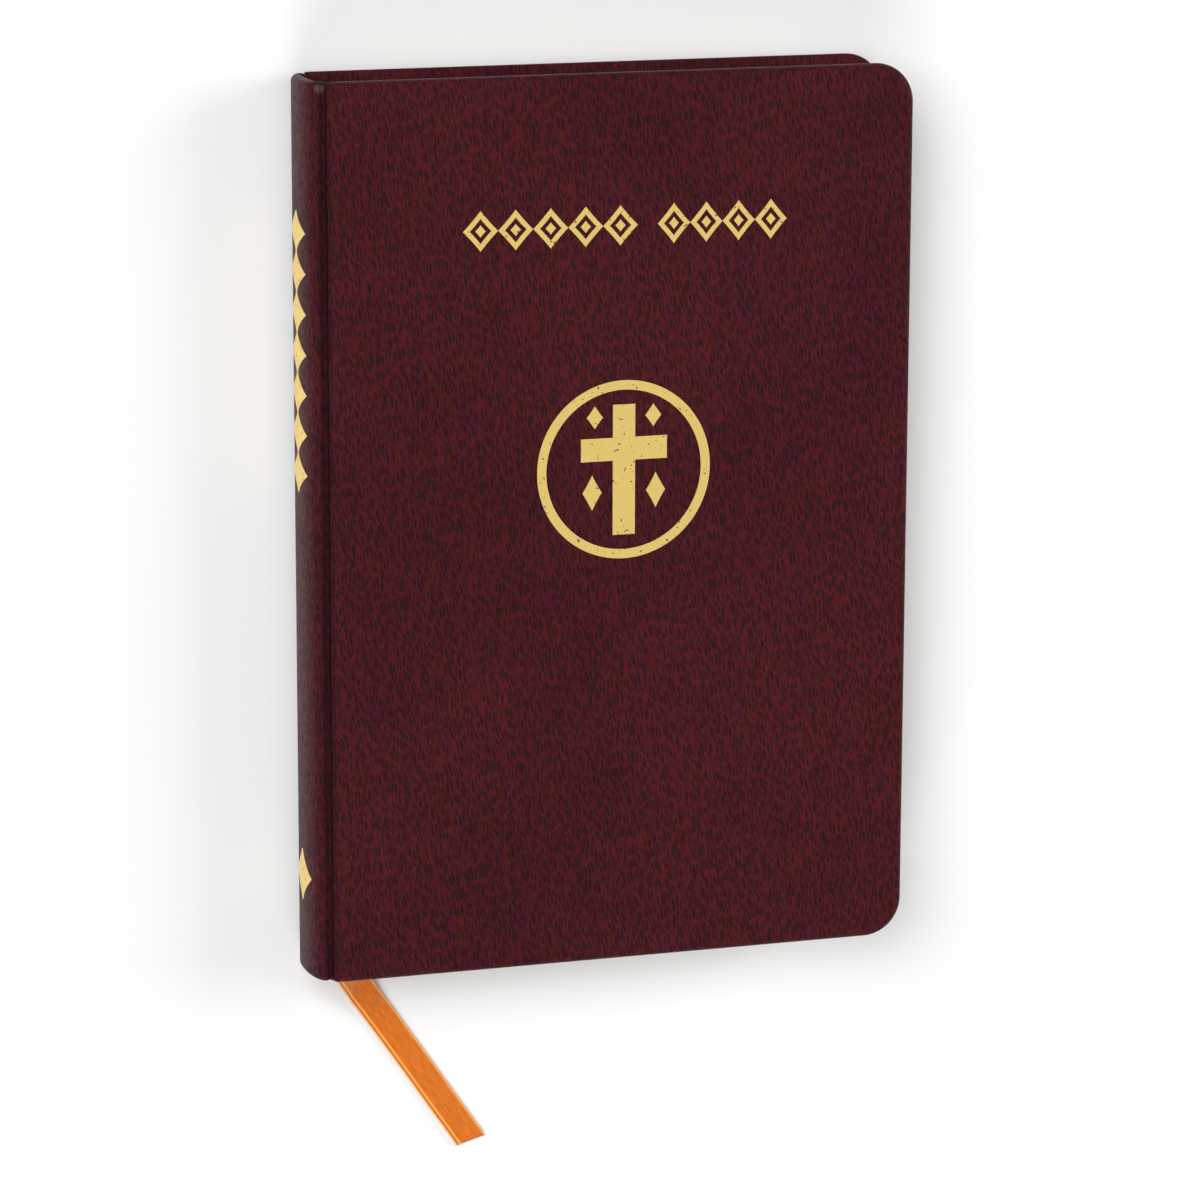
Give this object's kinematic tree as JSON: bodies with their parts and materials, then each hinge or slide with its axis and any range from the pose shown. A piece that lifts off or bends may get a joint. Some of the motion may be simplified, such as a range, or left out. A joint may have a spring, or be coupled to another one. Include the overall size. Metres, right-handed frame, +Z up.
{
  "type": "prayer book",
  "caption": "Small closed prayer book in flexible dark red leather covers with gold foil ornament, sewn gatherings of pages and a ribbon marker.",
  "frame": {"origin": "centre of the underside of the closed book, on the surface that it lies on", "axes": "+X from the spine to the fore edge, +Y from the tail to the head, +Z up through the thickness"},
  "size_m": [0.1183, 0.213, 0.0191],
  "materials": {
    "dark_red_leather": "semi-matt fine-grained dark burgundy leather",
    "page_paper": "thin cream paper",
    "endpaper": "heavier cream paper",
    "gold_foil": "satin gold blocking foil",
    "orange_satin_ribbon": "orange-gold satin ribbon",
    "flexible_board": "thin grey board",
    "mull_cloth": "open cotton cloth",
    "spine_lining_paper": "brown kraft paper",
    "linen_thread": "waxed linen thread",
    "band_silk": "sewn silk over a cord core"
  },
  "bodies": {
    "back_half": {"gathering_07": "page_paper", "gathering_08": "page_paper", "gathering_09": "page_paper", "gathering_10": "page_paper", "gathering_11": "page_paper", "gathering_12": "page_paper", "spine_leather_back": "dark_red_leather", "spine_lining_back": "spine_lining_paper", "mull_cloth_back": "mull_cloth", "sewing_thread_back": "linen_thread", "headband_back": "band_silk", "tailband_back": "band_silk", "spine_chain_foil_back": "gold_foil", "spine_mark_foil_back": "gold_foil", "ribbon_inner": "orange_satin_ribbon"},
    "front_half": {"gathering_01": "page_paper", "gathering_02": "page_paper", "gathering_03": "page_paper", "gathering_04": "page_paper", "gathering_05": "page_paper", "gathering_06": "page_paper", "spine_leather_front": "dark_red_leather", "spine_lining_front": "spine_lining_paper", "mull_cloth_front": "mull_cloth", "sewing_thread_front": "linen_thread", "headband_front": "band_silk", "tailband_front": "band_silk", "spine_chain_foil_front": "gold_foil", "spine_mark_foil_front": "gold_foil"},
    "front_cover": {"front_cover_leather": "dark_red_leather", "front_board": "flexible_board", "front_pastedown": "endpaper", "title_foil_left": "gold_foil", "title_foil_right": "gold_foil", "cross_foil": "gold_foil", "ring_foil": "gold_foil"},
    "back_cover": {"back_cover_leather": "dark_red_leather", "back_board": "flexible_board", "back_pastedown": "endpaper"},
    "front_flyleaf": {"front_flyleaf": "endpaper"},
    "back_flyleaf": {"back_flyleaf": "endpaper"},
    "marked_leaf_left": {"marked_leaf_left": "page_paper"},
    "marked_leaf_right": {"marked_leaf_right": "page_paper"},
    "ribbon_tail": {"ribbon_tail": "orange_satin_ribbon"},
    "ribbon_tip": {"ribbon_tip": "orange_satin_ribbon"}
  },
  "joints": [
    {"name": "open_at_ribbon", "type": "hinge", "parent": "back_half", "child": "front_half", "pos_m": [-0.05935, 0, 0.0095], "axis": [0, -1, 0], "range_deg": [0, 160]},
    {"name": "front_cover_hinge", "type": "hinge", "parent": "front_half", "child": "front_cover", "pos_m": [-0.0556, 0, 0.01806], "axis": [0, -1, 0], "range_deg": [0, 175]},
    {"name": "back_cover_hinge", "type": "hinge", "parent": "back_half", "child": "back_cover", "pos_m": [-0.0556, 0, 0.00094], "axis": [0, -1, 0], "range_deg": [-180, 0]},
    {"name": "front_flyleaf_turn", "type": "hinge", "parent": "front_half", "child": "front_flyleaf", "pos_m": [-0.0547, 0, 0.01659], "axis": [0, -1, 0], "range_deg": [0, 80]},
    {"name": "back_flyleaf_turn", "type": "hinge", "parent": "back_half", "child": "back_flyleaf", "pos_m": [-0.0547, 0, 0.00241], "axis": [0, -1, 0], "range_deg": [-82, 0]},
    {"name": "left_leaf_turn", "type": "hinge", "parent": "back_half", "child": "marked_leaf_left", "pos_m": [-0.0559, 0, 0.00984], "axis": [0, -1, 0], "range_deg": [0, 122]},
    {"name": "right_leaf_turn", "type": "hinge", "parent": "back_half", "child": "marked_leaf_right", "pos_m": [-0.0559, 0, 0.00958], "axis": [0, -1, 0], "range_deg": [0, 58]},
    {"name": "ribbon_tail_lift", "type": "hinge", "parent": "back_half", "child": "ribbon_tail", "pos_m": [-0.0495, -0.0875, 0.00683], "axis": [-0.8287, -0.5598, 0], "range_deg": [0, 75]},
    {"name": "ribbon_tip_lift", "type": "hinge", "parent": "ribbon_tail", "child": "ribbon_tip", "pos_m": [-0.0337, -0.11045, 0.0003], "axis": [-0.8287, -0.5598, 0], "range_deg": [0, 75]}
  ],
  "couplings": [
    {"joint": "front_flyleaf_turn", "follows": "front_cover_hinge", "ratio": 0.45},
    {"joint": "back_flyleaf_turn", "follows": "back_cover_hinge", "ratio": 0.45},
    {"joint": "left_leaf_turn", "follows": "open_at_ribbon", "ratio": 0.75},
    {"joint": "right_leaf_turn", "follows": "open_at_ribbon", "ratio": 0.35}
  ]
}
